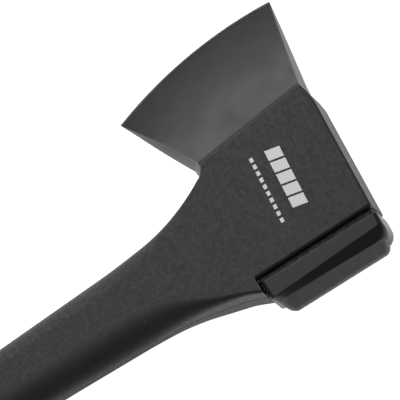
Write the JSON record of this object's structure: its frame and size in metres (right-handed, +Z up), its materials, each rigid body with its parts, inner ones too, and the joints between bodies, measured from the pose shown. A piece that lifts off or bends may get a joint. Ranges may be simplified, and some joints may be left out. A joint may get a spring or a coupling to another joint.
{
  "type": "splitting maul",
  "caption": "Black splitting maul: coated wedge head with a hammer poll, moulded into a plastic housing and a long handle with a soft grip.",
  "frame": {"origin": "under the middle of the whole tool as it lies on one cheek, on the surface that it lies on", "axes": "+X along the handle towards the top of the head, +Y towards the cutting edge, +Z up through the cheeks"},
  "size_m": [0.72, 0.1702, 0.0281],
  "materials": {
    "coated_steel": "smooth low-friction black coating, satin",
    "shell_plastic": "matte glass-filled plastic with a fine spark-eroded grain",
    "adhesive": "dull cured adhesive with a rough bead",
    "glass_fibre": "pultruded glass fibre, satin",
    "grip_rubber": "soft-touch rubber with fine ribs",
    "eyelet_steel": "turned steel, satin",
    "print_ink": "flat white pad-printing ink"
  },
  "bodies": {
    "root": {"steel_head": "coated_steel", "handle_shell": "shell_plastic", "bedding": "adhesive", "fibre_core": "glass_fibre", "grip_sleeve": "grip_rubber", "butt_cap": "shell_plastic", "hang_eyelet": "eyelet_steel", "cheek_print": "print_ink"}
  },
  "joints": []
}
